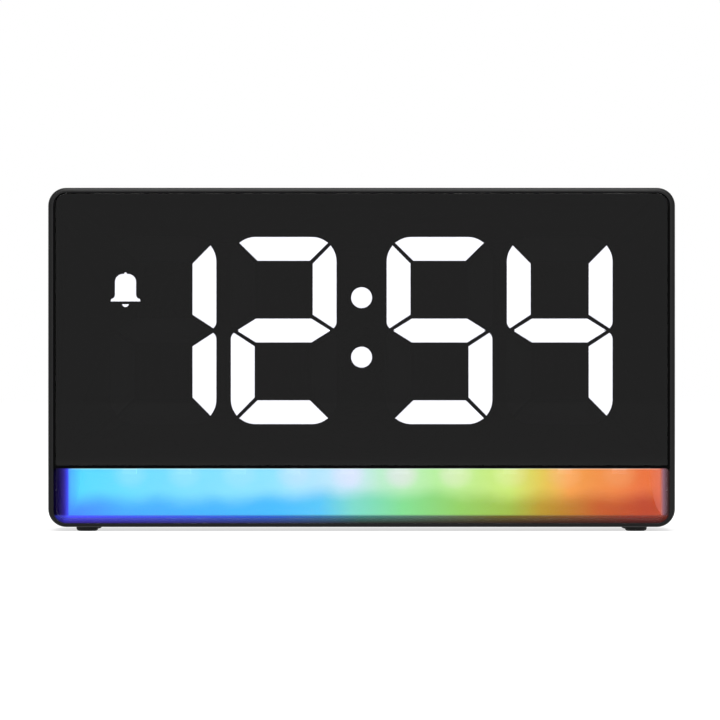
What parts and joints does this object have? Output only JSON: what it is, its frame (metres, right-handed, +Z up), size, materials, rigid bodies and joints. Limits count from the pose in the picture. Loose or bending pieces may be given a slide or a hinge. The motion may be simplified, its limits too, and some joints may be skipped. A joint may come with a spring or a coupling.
{
  "type": "mood light alarm clock",
  "caption": "Low wide alarm clock with a dark front window, large white segment digits, a glowing colour bar along its foot, and keys on its top and rear.",
  "frame": {"origin": "centre of the footprint, on the surface that the feet stand on", "axes": "+X to the right as seen from the front, +Y from the front to the rear, +Z up"},
  "size_m": [0.16, 0.042, 0.0877],
  "materials": {
    "black_shell": "fine matt moulded texture",
    "smoked_window": "smooth satin, dark",
    "black_film": "matt black print",
    "white_segment": "frosted diffuser, lit white",
    "white_moulding": "white moulded plastic",
    "circuit_board": "green solder mask",
    "white_board": "white solder mask",
    "steel": "zinc plated",
    "black_steel": "black oxide",
    "led_white": "clear resin",
    "led_colour": "milky resin",
    "bar_lens": "translucent, lit from behind",
    "rubber": "matt",
    "black_part": "moulded",
    "capacitor": "sleeved can",
    "bright_metal": "nickel plated",
    "black_key": "soft matt",
    "grey_plunger": "moulded",
    "ivory_plastic": "moulded",
    "white_lead": "smooth sleeve"
  },
  "bodies": {
    "clock": {"alarm_icon": "white_segment", "battery_contact_negative": "bright_metal", "battery_contact_positive": "bright_metal", "board_connectors": "ivory_plastic", "buzzer": "black_part", "case_screws": "black_steel", "clock_crystal": "bright_metal", "coin_cell": "bright_metal", "colon_dots": "white_segment", "controller_chip": "black_part", "digit_block": "white_moulding", "digit_hours_ones": "white_segment", "digit_hours_tens": "white_segment", "digit_minutes_ones": "white_segment", "digit_minutes_tens": "white_segment", "display_board": "circuit_board", "display_board_screws": "steel", "display_window": "smoked_window", "feet": "rubber", "housing": "black_shell", "key_switches": "black_part", "light_bar_lens": "bar_lens", "light_bar_screws": "steel", "light_reflector": "white_moulding", "main_board": "circuit_board", "main_board_screws": "steel", "mask_film": "black_film", "mood_led_board": "white_board", "mood_led_lead": "white_lead", "mood_leds": "led_colour", "power_socket_base": "black_part", "power_socket_shell": "bright_metal", "power_socket_tongue": "black_part", "rear_cover": "black_shell", "ribbon_cable": "white_lead", "segment_leds": "led_white", "slide_switch": "black_part", "smoothing_capacitors": "capacitor", "snooze_switch": "black_part", "window_tape": "black_film"},
    "snooze_button": {"snooze_key": "black_key", "snooze_plunger": "grey_plunger"},
    "alarm_slider": {"alarm_switch_knob": "black_key", "alarm_switch_nub": "grey_plunger"},
    "battery_lid": {"battery_door": "black_shell"},
    "time_button": {"time_key": "black_key", "time_key_plunger": "grey_plunger"},
    "alarm_button": {"alarm_key": "black_key", "alarm_key_plunger": "grey_plunger"},
    "plus_button": {"plus_key": "black_key", "plus_key_plunger": "grey_plunger"},
    "minus_button": {"minus_key": "black_key", "minus_key_plunger": "grey_plunger"},
    "light_button": {"light_key": "black_key", "light_key_plunger": "grey_plunger"}
  },
  "joints": [
    {"name": "snooze_press", "type": "slide", "parent": "clock", "child": "snooze_button", "axis": [0, 0, -1], "range_m": [0, 0.0008], "stiffness_N_per_m": 400, "springref_m": -0.0008},
    {"name": "alarm_slide", "type": "slide", "parent": "clock", "child": "alarm_slider", "axis": [1, 0, 0], "range_m": [0, 0.003]},
    {"name": "battery_door_hinge", "type": "hinge", "parent": "clock", "child": "battery_lid", "pos_m": [0.036, 0.0188, 0.0495], "axis": [1, 0, 0], "range_deg": [0, 85]},
    {"name": "time_press", "type": "slide", "parent": "clock", "child": "time_button", "axis": [0, -1, 0], "range_m": [0, 0.0005], "stiffness_N_per_m": 300},
    {"name": "alarm_press", "type": "slide", "parent": "clock", "child": "alarm_button", "axis": [0, -1, 0], "range_m": [0, 0.0005], "stiffness_N_per_m": 300},
    {"name": "plus_press", "type": "slide", "parent": "clock", "child": "plus_button", "axis": [0, -1, 0], "range_m": [0, 0.0005], "stiffness_N_per_m": 300},
    {"name": "minus_press", "type": "slide", "parent": "clock", "child": "minus_button", "axis": [0, -1, 0], "range_m": [0, 0.0005], "stiffness_N_per_m": 300},
    {"name": "light_press", "type": "slide", "parent": "clock", "child": "light_button", "axis": [0, -1, 0], "range_m": [0, 0.0005], "stiffness_N_per_m": 300}
  ]
}
